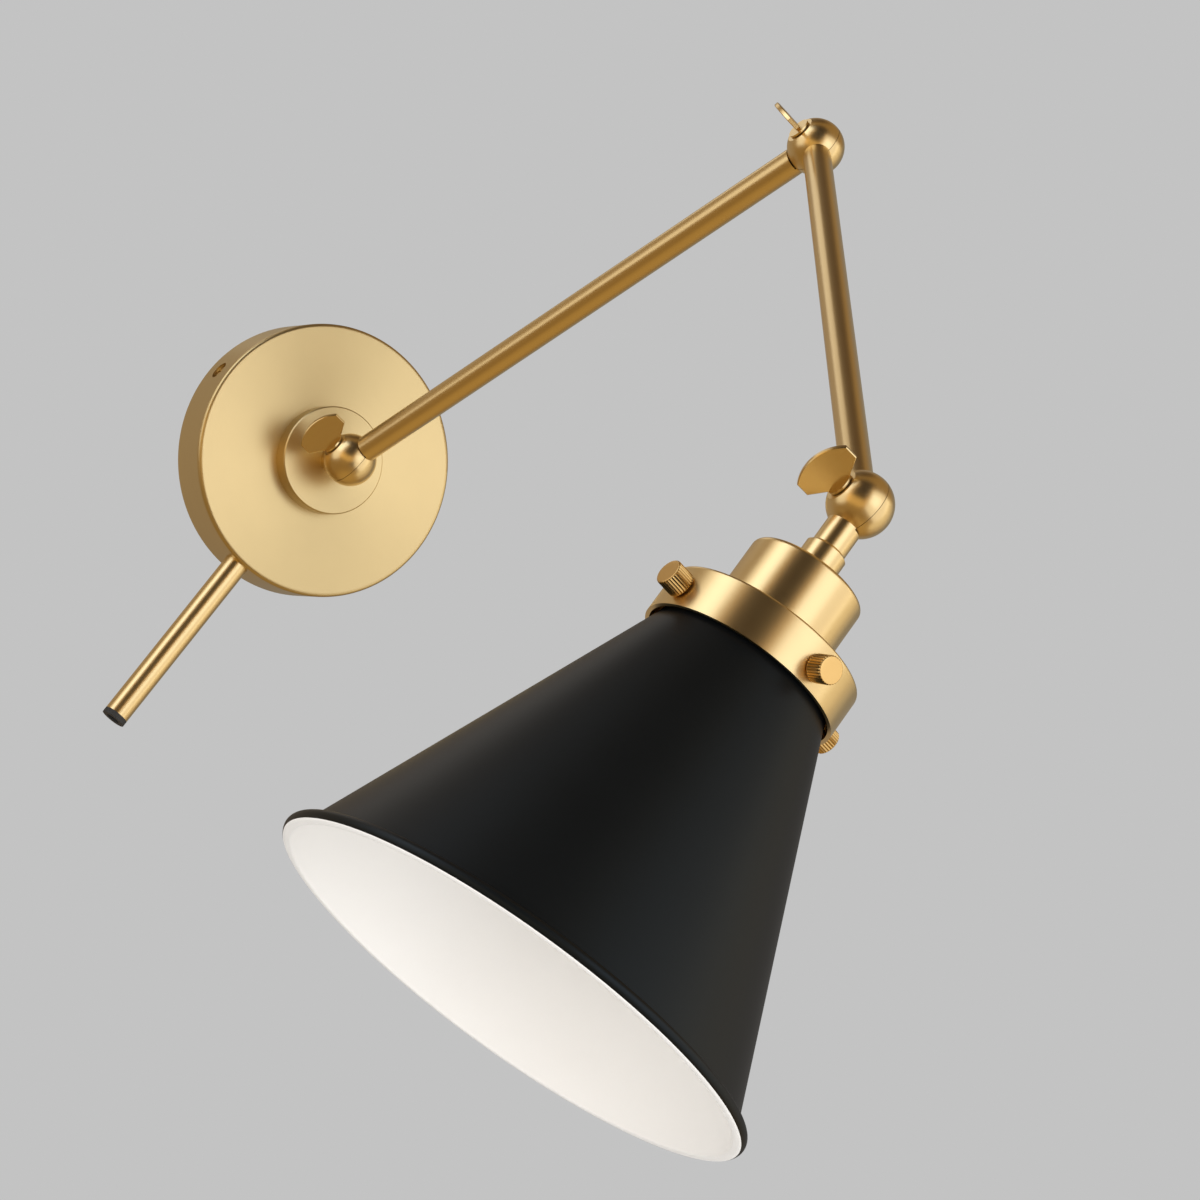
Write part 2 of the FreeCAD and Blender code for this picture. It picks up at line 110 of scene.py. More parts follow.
camera_data = bpy.data.cameras.new("camera")
camera_data.sensor_width = SENSOR
camera_data.lens = LENS
camera_data.clip_start, camera_data.clip_end = 0.05, 50
camera = bpy.data.objects.new("camera", camera_data)
camera.matrix_world = camera_matrix(camera_place, camera_heading, camera_tilt, camera_roll)
bpy.context.scene.collection.objects.link(camera)
bpy.context.scene.camera = camera
bpy.context.scene.view_settings.view_transform = "Standard"
print("camera at", [round(value, 3) for value in camera_place])

# %% [markdown]
# ## Building node trees
# Every finish and every lathe shape is a node tree.

# %% Node helpers


def add_node(tree, kind, inputs=None, **settings):
    """Add a node, set its options and fill or link its input sockets."""
    node = tree.nodes.new(kind)
    for name, value in settings.items():
        setattr(node, name, value)
    for socket, value in (inputs or {}).items():
        if isinstance(value, bpy.types.NodeSocket):
            tree.links.new(value, node.inputs[socket])
        else:
            node.inputs[socket].default_value = value
    return node


def math_node(tree, operation, first, second=0.0):
    return add_node(tree, "ShaderNodeMath", {0: first, 1: second}, operation=operation).outputs[0]


def declare(tree, inputs, outputs):
    """Make a group's named sockets and return its input and output nodes."""
    for name, (kind, value) in inputs.items():
        socket = tree.interface.new_socket(name, in_out="INPUT", socket_type="NodeSocket" + kind)
        if value is not None:
            socket.default_value = value
    for name, kind in outputs.items():
        tree.interface.new_socket(name, in_out="OUTPUT", socket_type="NodeSocket" + kind)
    return tree.nodes.new("NodeGroupInput").outputs, tree.nodes.new("NodeGroupOutput")


# %% [markdown]
# ## Turning marks
# Satin brass is brushed while it spins, so its marks run round the axis. They could be drawn as
# rings, but a noise that is stretched round the axis looks less regular: the group takes the
# distance from the axis, the height along it and only a little of the angle. It puts out a
# slightly uneven colour and roughness, and a height for the bump. The fan input paints a
# highlight into the colour: two soft bright fans, opposite each other, for the sheen that a
# turned flat face shows. On a knurled side the colour is painted darker at the bottoms of the
# grooves, as painted shade there.

# %% Group: turning marks
PAINTED_FAN_TURN = math.radians(74)
ARC_SHARE = 0.0006
MARKS_SHARE = 0.5
CLOUDS_PER_METRE = 55.0
NOISE_LOW, NOISE_HIGH = 0.3, 0.7


def either_way(tree, noise):
    """Spread the middle of a noise's range over -1 to 1."""
    return add_node(tree, "ShaderNodeMapRange", {
        "Value": noise, "From Min": NOISE_LOW, "From Max": NOISE_HIGH,
        "To Min": -1.0, "To Max": 1.0,
    }).outputs[0]


def turning_marks_group():
    tree = bpy.data.node_groups.new("turning marks", "ShaderNodeTree")
    given, result = declare(
        tree,
        {
            "Vector": ("Vector", None), "Colour": ("Color", (0.8, 0.8, 0.8, 1)),
            "Mark size": ("Float", 0.0002), "Colour change": ("Float", 0.05),
            "Roughness": ("Float", 0.3), "Roughness change": ("Float", 0.05),
            "Fan": ("Float", 0.0), "Grooves": ("Float", 0.0), "Groove shade": ("Float", 0.0),
            "Groove radius": ("Float", 0.0),
        },
        {"Colour": "Color", "Roughness": "Float", "Height": "Float"},
    )
    parts = add_node(tree, "ShaderNodeSeparateXYZ", {0: given["Vector"]}).outputs
    radius = math_node(tree, "SQRT", math_node(
        tree, "ADD",
        math_node(tree, "MULTIPLY", parts["X"], parts["X"]),
        math_node(tree, "MULTIPLY", parts["Y"], parts["Y"]),
    ))
    angle = math_node(tree, "ARCTAN2", parts["Y"], parts["X"])
    wrapped = add_node(tree, "ShaderNodeCombineXYZ", {
        "X": radius, "Y": parts["Z"], "Z": math_node(tree, "MULTIPLY", angle, ARC_SHARE),
    }).outputs[0]
    fineness = math_node(tree, "DIVIDE", 1.0, given["Mark size"])
    marks = add_node(tree, "ShaderNodeTexNoise", {
        "Vector": wrapped, "Scale": fineness, "Detail": 2.0, "Roughness": 0.6,
    }).outputs["Fac"]
    clouds = add_node(tree, "ShaderNodeTexNoise", {
        "Vector": given["Vector"], "Scale": CLOUDS_PER_METRE, "Detail": 2.0,
    }).outputs["Fac"]
    swing = either_way(tree, marks)
    uneven = math_node(
        tree, "ADD", math_node(tree, "MULTIPLY", swing, MARKS_SHARE), either_way(tree, clouds)
    )
    # Painted highlight: two soft bright fans that lighten the colour, for the sheen of a turned face.
    painted_fan_turn = math_node(tree, "ADD", math_node(tree, "MULTIPLY", angle, 2.0), PAINTED_FAN_TURN)
    painted_fans = math_node(tree, "MULTIPLY", math_node(tree, "COSINE", painted_fan_turn), given["Fan"])
    brightness = math_node(
        tree, "ADD", math_node(tree, "MULTIPLY", uneven, given["Colour change"]),
        math_node(tree, "ADD", painted_fans, 1.0),
    )
    # Painted shade: the colour is made darker at the bottoms of the knurl's grooves.
    groove_wave = math_node(tree, "COSINE", math_node(tree, "MULTIPLY", angle, given["Grooves"]))
    groove = math_node(tree, "MULTIPLY", math_node(tree, "SUBTRACT", 1.0, groove_wave), 0.5)
    on_side = math_node(tree, "GREATER_THAN", radius, given["Groove radius"])
    painted_groove_dark = math_node(
        tree, "MULTIPLY", math_node(tree, "MULTIPLY", groove, on_side), given["Groove shade"]
    )
    brightness = math_node(tree, "MULTIPLY", brightness, math_node(tree, "SUBTRACT", 1.0, painted_groove_dark))
    toned = add_node(tree, "ShaderNodeVectorMath", {
        0: given["Colour"], "Scale": brightness,
    }, operation="SCALE").outputs[0]
    rough = math_node(
        tree, "ADD", given["Roughness"],
        math_node(tree, "MULTIPLY", swing, given["Roughness change"]),
    )
    tree.links.new(toned, result.inputs["Colour"])
    tree.links.new(rough, result.inputs["Roughness"])
    tree.links.new(marks, result.inputs["Height"])
    return tree


turning_marks = turning_marks_group()
print("group:", turning_marks.name)

# %% [markdown]
# ## Speckle
# Paint, porcelain, rubber and zinc have no direction. Their group mixes a fine grain with broad
# soft clouds, both read straight from the piece's own coordinates.

# %% Group: speckle
BROAD_CLOUDS_PER_METRE = 30.0


def speckle_group():
    tree = bpy.data.node_groups.new("speckle", "ShaderNodeTree")
    given, result = declare(
        tree,
        {
            "Vector": ("Vector", None), "Colour": ("Color", (0.8, 0.8, 0.8, 1)),
            "Grain size": ("Float", 0.0003), "Colour change": ("Float", 0.05),
            "Roughness": ("Float", 0.5), "Roughness change": ("Float", 0.05),
        },
        {"Colour": "Color", "Roughness": "Float", "Height": "Float"},
    )
    fineness = math_node(tree, "DIVIDE", 1.0, given["Grain size"])
    grain = add_node(tree, "ShaderNodeTexNoise", {
        "Vector": given["Vector"], "Scale": fineness, "Detail": 3.0,
    }).outputs["Fac"]
    clouds = add_node(tree, "ShaderNodeTexNoise", {
        "Vector": given["Vector"], "Scale": BROAD_CLOUDS_PER_METRE, "Detail": 2.0,
    }).outputs["Fac"]
    centred = math_node(tree, "SUBTRACT", math_node(tree, "ADD", grain, clouds), 1.0)
    brightness = math_node(
        tree, "ADD", math_node(tree, "MULTIPLY", centred, given["Colour change"]), 1.0
    )
    toned = add_node(tree, "ShaderNodeVectorMath", {
        0: given["Colour"], "Scale": brightness,
    }, operation="SCALE").outputs[0]
    rough = math_node(
        tree, "ADD", given["Roughness"],
        math_node(tree, "MULTIPLY", centred, given["Roughness change"]),
    )
    tree.links.new(toned, result.inputs["Colour"])
    tree.links.new(rough, result.inputs["Roughness"])
    tree.links.new(grain, result.inputs["Height"])
    return tree


speckle = speckle_group()
print("group:", speckle.name)

# %% [markdown]
# ## From a group to a finish
# A finish is a material: the group feeds the Principled shader's colour and roughness and,
# through a Bump node, its normal. What is the same all over, such as the metallic value, is set
# on the shader itself. A Mapping node moves the pattern's origin to the piece and turns its Z
# along the piece's axis.

# %% Materials
METAL = {"Metallic": 1.0}
BRASS = (0.87, 0.69, 0.365)


def turn_to_axis(axis):
    """Rotation that brings the piece's axis to local +Z."""
    return axis.to_track_quat("Z", "Y").inverted()


def finish_material(name, group, colour, values, bump, axis=None, centre=None, shader=None):
    material = bpy.data.materials.new(name)
    material.use_nodes = True
    tree = material.node_tree
    principled = tree.nodes["Principled BSDF"]
    for socket, value in (shader or {}).items():
        principled.inputs[socket].default_value = value
    place = add_node(tree, "ShaderNodeTexCoord").outputs["Object"]
    if axis is not None:
        turn = turn_to_axis(axis)
        place = add_node(tree, "ShaderNodeMapping", {
            "Vector": place, "Location": -(turn @ centre), "Rotation": turn.to_euler(),
        }).outputs[0]
    look = add_node(tree, "ShaderNodeGroup", node_tree=group)
    tree.links.new(place, look.inputs["Vector"])
    look.inputs["Colour"].default_value = (*colour, 1)
    for socket, value in values.items():
        look.inputs[socket].default_value = value
    relief = add_node(tree, "ShaderNodeBump", {
        "Height": look.outputs["Height"], "Strength": 1.0, "Distance": bump,
    })
    tree.links.new(look.outputs["Colour"], principled.inputs["Base Color"])
    tree.links.new(look.outputs["Roughness"], principled.inputs["Roughness"])
    tree.links.new(relief.outputs["Normal"], principled.inputs["Normal"])
    return material


def satin_brass(name, centre, axis, roughness=0.285, colour=BRASS, **marks):
    values = {
        "Mark size": 0.0003, "Colour change": 0.012,
        "Roughness": roughness, "Roughness change": 0.006,
    }
    values.update({label.replace("_", " ").capitalize(): value for label, value in marks.items()})
    return finish_material(
        "satin brass, " + name, turning_marks, colour, values,
        bump=0.0000003, axis=axis, centre=centre, shader=METAL,
    )


# %% [markdown]
# ## Which piece was turned about which axis
# The wall plate and its boss spin about the wall's normal, the tubes about their own length, and
# the balls about the hinge. The flat wings of the keys are brushed across. The plate and the
# boss are the dullest pieces, and a key is polished by the fingers that turn it.

# %% Brass on the CAD pieces


def dress(material, *names):
    for name in names:
        mesh = nodes[name].data
        mesh.materials.clear()
        mesh.materials.append(material)


# The plate and boss get a darker copy of the brass colour as painted shade, and two fans as a painted highlight.
PLATE_BRASS_SHADED = (0.705, 0.572, 0.305)
origin = Vector((0, 0, 0))
cover_low, cover_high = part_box("cord_cover")
cover_centre = (cover_low + cover_high) / 2

dress(
    satin_brass("plate", origin, Y_AXIS, roughness=0.36, colour=PLATE_BRASS_SHADED, fan=0.1),
    "wall_plate", "boss_disc",
)
dress(satin_brass("side screws", origin, X_AXIS), "plate_side_screws")
dress(satin_brass("cord cover", cover_centre, Z_AXIS), "cord_cover", "cord_cover_grub")
dress(satin_brass("wall knuckle", wall_ball, X_AXIS), "wall_neck", "lower_arm_wall_half")
dress(
    satin_brass("elbow knuckle", elbow_ball, X_AXIS),
    "lower_arm_elbow_half", "upper_arm_elbow_half",
)
dress(satin_brass("head knuckle", head_ball, X_AXIS), "upper_arm_head_half")
dress(satin_brass("lower arm", wall_ball, lower_arm_axis), "lower_arm_tube")
dress(satin_brass("upper arm", elbow_ball, upper_arm_axis), "upper_arm_tube")
dress(
    satin_brass("head", head_ball, head_axis),
    "head_stem", "stem_ferrule", "socket_cup", "shade_collar",
)
for key, place in (("wall_key", wall_ball), ("elbow_key", elbow_ball), ("head_key", head_ball)):
    dress(satin_brass(key.replace("_", " "), place, Z_AXIS, roughness=0.25), key)
print("brass finishes:", len([m for m in bpy.data.materials if m.name.startswith("satin")]))

# %% [markdown]
# ## The other finishes
# The bracket, the washer and the nuts are zinc-plated, the ground screw is green, the bush is
# rubber, the lampholder is glazed porcelain with a brass shell and contact, the ring nut on it
# is a white moulding, and the friction discs are pressed fibre.

# %% Other CAD pieces
zinc = finish_material(
    "zinc plate", speckle, (0.60, 0.61, 0.62),
    {"Grain size": 0.0012, "Colour change": 0.25, "Roughness": 0.38, "Roughness change": 0.15},
    bump=0.00001, shader=METAL,
)
green = finish_material(
    "green lacquer", speckle, (0.05, 0.27, 0.11),
    {"Grain size": 0.0006, "Colour change": 0.1, "Roughness": 0.3, "Roughness change": 0.05},
    bump=0.00001, shader={"Metallic": 0.3},
)
rubber = finish_material(
    "black rubber", speckle, (0.022, 0.022, 0.022),
    {"Grain size": 0.0004, "Colour change": 0.2, "Roughness": 0.65, "Roughness change": 0.1},
    bump=0.00003,
)
fibre = finish_material(
    "pressed fibre", speckle, (0.16, 0.11, 0.07),
    {"Grain size": 0.0002, "Colour change": 0.5, "Roughness": 0.85, "Roughness change": 0.1},
    bump=0.00004,
)
porcelain = finish_material(
    "glazed porcelain", speckle, (0.86, 0.85, 0.81),
    {"Grain size": 0.002, "Colour change": 0.04, "Roughness": 0.16, "Roughness change": 0.06},
    bump=0.00003,
)
phenolic = finish_material(
    "white moulding", speckle, (0.80, 0.79, 0.75),
    {"Grain size": 0.001, "Colour change": 0.05, "Roughness": 0.42, "Roughness change": 0.08},
    bump=0.00002,
)
shell_brass = finish_material(
    "bright brass", speckle, (0.83, 0.60, 0.27),
    {"Grain size": 0.001, "Colour change": 0.12, "Roughness": 0.2, "Roughness change": 0.1},
    bump=0.00001, shader=METAL,
)
dress(zinc, "mounting_bracket", "swivel_washer", "swivel_nut", "socket_nut")
dress(green, "ground_screw")
dress(rubber, "cord_bush")
dress(fibre, "wall_friction_disc", "elbow_friction_disc", "head_friction_disc")
dress(porcelain, "lampholder_body")
dress(phenolic, "collar_ring_nut")
dress(shell_brass, "centre_contact")
print("materials:", len(bpy.data.materials))

# %% [markdown]
# ## A lathe in Geometry Nodes
# The shade, the thumbscrews and the threaded shell all follow one rule: an outline that turns
# round an axis. Spin would do for plain shapes, but a node tree can also cut the knurls and the
# thread while it turns. A grid gives the vertices: each column is one step round the axis and
# each row takes its radius and height from one point of the outline. Attributes on the outline
# say where the knurl and the thread act, and which points carry the inner finish.

# %% Geometry Nodes: the lathe
MERGE_REACH = 0.000001
ALL_INNER = 0.9


def sampled(tree, outline, name, row):
    """Value of a named attribute at one point of the outline."""
    value = add_node(
        tree, "GeometryNodeInputNamedAttribute", {"Name": name}, data_type="FLOAT"
    ).outputs["Attribute"]
    return add_node(tree, "GeometryNodeSampleIndex", {
        "Geometry": outline, "Value": value, "Index": row,
    }, data_type="FLOAT").outputs[0]


def lathe_tree():
    tree = bpy.data.node_groups.new("lathe", "GeometryNodeTree")
    given, result = declare(
        tree,
        {
            "Geometry": ("Geometry", None), "Points": ("Int", 2), "Steps": ("Int", 96),
            "Knurls": ("Int", 0), "Knurl depth": ("Float", 0.0),
            "Thread pitch": ("Float", 1.0), "Thread depth": ("Float", 0.0),
            "Outer finish": ("Material", None), "Inner finish": ("Material", None),
        },
        {"Geometry": "Geometry"},
    )
    outline = given["Geometry"]
    columns = math_node(tree, "ADD", given["Steps"], 1.0)
    grid = add_node(tree, "GeometryNodeMeshGrid", {
        "Vertices X": columns, "Vertices Y": given["Points"],
    }).outputs["Mesh"]
    index = add_node(tree, "GeometryNodeInputIndex").outputs[0]
    row = math_node(tree, "MODULO", index, given["Points"])
    column = math_node(tree, "FLOOR", math_node(tree, "DIVIDE", index, given["Points"]))
    turn = math_node(
        tree, "MULTIPLY", math_node(tree, "DIVIDE", column, given["Steps"]), math.tau
    )
    place = add_node(tree, "GeometryNodeInputPosition").outputs[0]
    point = add_node(tree, "GeometryNodeSampleIndex", {
        "Geometry": outline, "Value": place, "Index": row,
    }, data_type="FLOAT_VECTOR").outputs[0]
    point = add_node(tree, "ShaderNodeSeparateXYZ", {0: point}).outputs

    grooves_passed = math_node(
        tree, "MULTIPLY", math_node(tree, "DIVIDE", turn, math.tau), given["Knurls"]
    )
    half_groove = 0.5
    knurl_wave = math_node(
        tree, "DIVIDE", math_node(tree, "PINGPONG", grooves_passed, half_groove), half_groove
    )
    knurl_cut = math_node(
        tree, "MULTIPLY", math_node(tree, "MULTIPLY", knurl_wave, given["Knurl depth"]),
        sampled(tree, outline, "knurl", row),
    )
    lead = math_node(
        tree, "MULTIPLY", math_node(tree, "DIVIDE", point["Z"], given["Thread pitch"]), math.tau
    )
    thread_wave = math_node(tree, "COSINE", math_node(tree, "SUBTRACT", lead, turn))
    thread_cut = math_node(
        tree, "MULTIPLY", math_node(tree, "MULTIPLY", thread_wave, given["Thread depth"]),
        sampled(tree, outline, "thread", row),
    )
    radius = math_node(
        tree, "SUBTRACT", math_node(tree, "SUBTRACT", point["X"], knurl_cut), thread_cut
    )
    turned = add_node(tree, "ShaderNodeCombineXYZ", {
        "X": math_node(tree, "MULTIPLY", radius, math_node(tree, "COSINE", turn)),
        "Y": math_node(tree, "MULTIPLY", radius, math_node(tree, "SINE", turn)),
        "Z": point["Z"],
    }).outputs[0]
    marked = add_node(tree, "GeometryNodeStoreNamedAttribute", {
        "Geometry": grid, "Name": "inner", "Value": sampled(tree, outline, "inner", row),
    }, data_type="FLOAT", domain="POINT").outputs[0]
    shaped = add_node(tree, "GeometryNodeSetPosition", {
        "Geometry": marked, "Position": turned,
    }).outputs[0]
    closed = add_node(tree, "GeometryNodeMergeByDistance", {
        "Geometry": shaped, "Distance": MERGE_REACH,
    }).outputs[0]
    real = add_node(tree, "GeometryNodeRealizeInstances", {"Geometry": closed}).outputs[0]
    painted = add_node(tree, "GeometryNodeSetMaterial", {
        "Geometry": real, "Material": given["Outer finish"],
    }).outputs[0]
    inner = add_node(
        tree, "GeometryNodeInputNamedAttribute", {"Name": "inner"}, data_type="FLOAT"
    ).outputs["Attribute"]
    is_inner = math_node(tree, "GREATER_THAN", inner, ALL_INNER)
    painted = add_node(tree, "GeometryNodeSetMaterial", {
        "Geometry": painted, "Selection": is_inner, "Material": given["Inner finish"],
    }).outputs[0]
    tree.links.new(painted, result.inputs["Geometry"])
    return tree


lathe = lathe_tree()
print("tree:", lathe.name, len(lathe.nodes), "nodes")

# %% [markdown]
# ## Using the lathe
# The outline is a loose chain of points in the XZ plane: X is the radius and Z the height along
# the axis. After the tree has run, the evaluated result becomes a plain mesh, its normals are
# made to point outwards, its sharp corners are marked, and it is moved to its place on the
# object.

# %% Outline, lathe and placing
SHARP = math.radians(38)


def outline_object(name, points):
    """Points are (radius, height) or (radius, height, {attribute: value})."""
    mesh = bpy.data.meshes.new(name)
    mesh.from_pydata([(point[0], 0, point[1]) for point in points], [], [])
    given = [point[2] if len(point) > 2 else {} for point in points]
    for attribute in ("knurl", "thread", "inner"):
        layer = mesh.attributes.new(attribute, "FLOAT", "POINT")
        layer.data.foreach_set("value", [values.get(attribute, 0.0) for values in given])
    piece = bpy.data.objects.new(name, mesh)
    bpy.context.scene.collection.objects.link(piece)
    return piece


def set_inputs(modifier, values):
    for item in modifier.node_group.interface.items_tree:
        if item.in_out == "INPUT" and item.name in values:
            modifier[item.identifier] = values[item.name]


def plain_mesh(piece):
    """Replace a piece's live modifiers by the mesh that they give."""
    evaluated = piece.evaluated_get(bpy.context.evaluated_depsgraph_get())
    made = bpy.data.meshes.new_from_object(evaluated)
    piece.modifiers.clear()
    piece.data = made


def tidy_normals(piece):
    work = bmesh.new()
    work.from_mesh(piece.data)
    bmesh.ops.recalc_face_normals(work, faces=work.faces)
    for face in work.faces:
        face.smooth = True
    for edge in work.edges:
        edge.smooth = len(edge.link_faces) == 2 and edge.calc_face_angle(0.0) < SHARP
    work.to_mesh(piece.data)
    work.free()


def along(centre, axis):
    """Matrix that stands local +Z on the centre and points it along the axis."""
    return Matrix.Translation(centre) @ turn_to_axis(axis).inverted().to_matrix().to_4x4()


def turned_piece(name, points, centre, axis, outer, inner, **values):
    piece = outline_object(name, points)
    modifier = piece.modifiers.new("lathe", "NODES")
    modifier.node_group = lathe
    settings = {label.replace("_", " ").capitalize(): value for label, value in values.items()}
    settings.update({"Points": len(points), "Outer finish": outer, "Inner finish": inner})
    set_inputs(modifier, settings)
    plain_mesh(piece)
    tidy_normals(piece)
    piece.data.transform(along(centre, axis))
    print(name, len(piece.data.polygons), "faces")
    return piece


def arc(centre, radius, start, end, count):
    """Points of an arc in the outline's plane; angles in degrees from +radius to +height."""
    made = []
    for i in range(count + 1):
        turn = math.radians(start + (end - start) * i / count)
        made.append((centre[0] + radius * math.cos(turn), centre[1] + radius * math.sin(turn)))
    return made


# %% [markdown]
# ## The shade
# The shade is spun from one sheet: a straight neck, a cone, and an edge that is rolled outwards
# into a bead. The outside is matte black and the inside warm white. The white sprays over the
# flat lip and half way round the bead's front. One outline holds the whole skin: down the cone,
# round the bead from its crease, and back up the inside.

# %% Finishes of the shade
black_paint = finish_material(
    "matte black paint", speckle, (0.0032, 0.0036, 0.0040),
    {"Grain size": 0.00035, "Colour change": 0.2, "Roughness": 0.42, "Roughness change": 0.04},
    bump=0.000004, shader={"Specular Tint": (0.64, 0.84, 1.0, 1), "Specular IOR Level": 0.3},
)
white_paint = finish_material(
    "warm white paint", speckle, (0.88, 0.855, 0.815),
    {"Grain size": 0.0005, "Colour change": 0.02, "Roughness": 0.5, "Roughness change": 0.05},
    bump=0.00001,
)

# %% Outline of the shade
sheet = 1.0 * MM
neck_top, neck_r, neck_length = 61.5 * MM, 33.8 * MM, 12.5 * MM
shade_length, mouth_r = 151.8 * MM, 89.5 * MM
bead_r, bead_centre_r = 2.2 * MM, 90.5 * MM
shoulder_reach, lip_reach = 1.6 * MM, 0.7 * MM
cone_rows = 15
crease_angle, white_angle, lip_angle = 184, 405, 444
foot = neck_top + shade_length
bend = neck_top + neck_length
spread = (mouth_r - neck_r) / (foot - bend)
WHITE = {"inner": 1.0}


def cone_r(height, inset=0.0):
    return neck_r - inset + spread * (height - bend)


def rounded_corner(before, corner, after, reach, count=5):
    """Points that round a corner off, starting and ending at the reach from it."""
    corner = Vector((*corner, 0))
    start = corner + (Vector((*before, 0)) - corner).normalized() * reach
    end = corner + (Vector((*after, 0)) - corner).normalized() * reach
    made = []
    for i in range(count + 1):
        share = i / count
        point = start * (1 - share) ** 2 + corner * 2 * share * (1 - share) + end * share ** 2
        made.append((point.x, point.y))
    return made


def shade_outline():
    bead_z = foot - bead_r
    inner_neck_r, middle_neck_r = neck_r - sheet, neck_r - 0.5 * sheet
    soft_edge = neck_top + 0.4 * sheet
    outside = [(middle_neck_r, neck_top), (neck_r, soft_edge)]
    outside += rounded_corner(
        (neck_r, neck_top), (neck_r, bend), (cone_r(foot), foot), shoulder_reach
    )
    for i in range(1, cone_rows):
        height = bend + (bead_z - bend) * i / cone_rows
        outside.append((cone_r(height), height))
    crease = [(cone_r(bead_z), bead_z)]
    bead = arc((bead_centre_r, bead_z), bead_r, crease_angle, white_angle, 24)
    crown = arc((bead_centre_r, bead_z), bead_r, white_angle, lip_angle, 5)
    lip = rounded_corner(
        (bead_centre_r, foot), (cone_r(foot, sheet), foot), (cone_r(bend, sheet), bend), lip_reach
    )
    inside = []
    for i in range(cone_rows - 1, 0, -1):
        height = bend + (foot - bend) * i / cone_rows
        inside.append((cone_r(height, sheet), height))
    inside += rounded_corner(
        (cone_r(foot, sheet), foot), (inner_neck_r, bend), (inner_neck_r, neck_top), shoulder_reach
    )
    inside += [(inner_neck_r, soft_edge), (middle_neck_r, neck_top)]
    black = [(*point, {}) for point in outside + crease + bead]
    return black + [(*point, WHITE) for point in crown + lip + inside]


# %% Turn the shade
shade = turned_piece(
    "shade_spun", shade_outline(), head_ball, head_axis, black_paint, white_paint, steps=192
)
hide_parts("shade")
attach(shade, "lamp_head")

# %% [markdown]
# ## The thumbscrews
# Four knurled screws go through the collar and hold the shade by its neck. The head is a short
# drum with straight knurls, a flat end and a small bevel at both rims. Its axis and place come
# from the joint that turns it. The knurl only acts on the drum's side, where the outline says
# so, and fades out on the bevels. The shank has a fine thread, seen in the gap behind the head.
# Heights are distances from the axis of the head, along the screw.

# %% Outline of a thumbscrew
drum_r, drum_foot, drum_end = 5.05 * MM, 38.4 * MM, 46.2 * MM
bevel = 0.45 * MM
knurls, knurl_depth = 30, 0.3 * MM
steps_per_knurl = 4
shank_r, shank_foot = 1.9 * MM, 34.1 * MM
tip_r, tip_foot = 1.5 * MM, 31.8 * MM
shank_chamfer, tip_chamfer = 0.3 * MM, 0.4 * MM
screw_pitch, screw_depth = 0.7 * MM, 0.13 * MM
rows_per_pitch = 8
KNURL, THREAD = {"knurl": 1.0}, {"thread": 1.0}


def thumbscrew_outline():
    """Tip, threaded shank and drum; the small steps at the drum's rims round its bevels."""
    points = [
        (0, tip_foot), (0.7 * tip_r, tip_foot), (tip_r, tip_foot + tip_chamfer),
        (tip_r, shank_foot), (shank_r - shank_chamfer, shank_foot),
    ]
    rows = int((drum_foot - shank_foot) / screw_pitch * rows_per_pitch)
    for i in range(1, rows):
        height = shank_foot + (drum_foot - shank_foot) * i / rows
        points.append((shank_r - screw_depth, height, THREAD))
    points += [
        (shank_r - screw_depth, drum_foot), (drum_r - bevel - 0.2 * MM, drum_foot),
        (drum_r - bevel, drum_foot + 0.04 * MM, {"knurl": 0.15}),
        (drum_r, drum_foot + bevel, KNURL), (drum_r, drum_foot + 2 * bevel, KNURL),
        (drum_r, drum_end - 2 * bevel, KNURL), (drum_r, drum_end - bevel, KNURL),
        (drum_r - 0.5 * bevel, drum_end - 0.3 * bevel, {"knurl": 0.4}),
        (drum_r - bevel, drum_end - 0.02 * MM, {"knurl": 0.1}),
        (drum_r - 1.5 * bevel, drum_end), (0.5 * drum_r, drum_end), (0, drum_end),
    ]
    return points


# %% Turn the four thumbscrews
# The thumbscrews get a deeper, more saturated copy of the brass colour, as painted shade on the knurled drums.
SCREW_BRASS_SHADED = (0.90, 0.63, 0.26)
for side in ("right", "front", "left", "rear"):
    joint = "shade_screw_" + side + "_turn"
    place, axis = joint_places[joint], joint_axes[joint]
    # The groove shade input paints shade into the bottoms of the knurl's grooves.
    brass = satin_brass(
        "thumbscrew " + side, place, axis, roughness=0.3, colour=SCREW_BRASS_SHADED,
        grooves=knurls, groove_shade=0.5, groove_radius=drum_r - bevel,
    )
    screw = turned_piece(
        "thumbscrew_knurled_" + side, thumbscrew_outline(), place, axis, brass, brass,
        steps=knurls * steps_per_knurl, knurls=knurls, knurl_depth=knurl_depth,
        thread_pitch=screw_pitch, thread_depth=screw_depth,
    )
    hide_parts("thumbscrew_" + side)
    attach(screw, "shade_screw_" + side)

# %% [markdown]
# ## The threaded shell
# The shell in the lampholder is thin brass sheet rolled with the lamp's thread, so the wave shows
# on both of its sides. The same lathe makes it: the outline runs up the outside and down the
# inside, and the thread moves both by the same amount.

# %% Turn the screw shell
shell_foot, shell_length = 50.5 * MM, 26.0 * MM
shell_r, shell_sheet, shell_edge = 13.6 * MM, 0.35 * MM, 1.0 * MM
flange_hole_r, flange_edge = 9.0 * MM, 0.6 * MM
lamp_pitch, lamp_depth = 3.629 * MM, 0.3 * MM
shell_rows, fading_rows = 72, 6


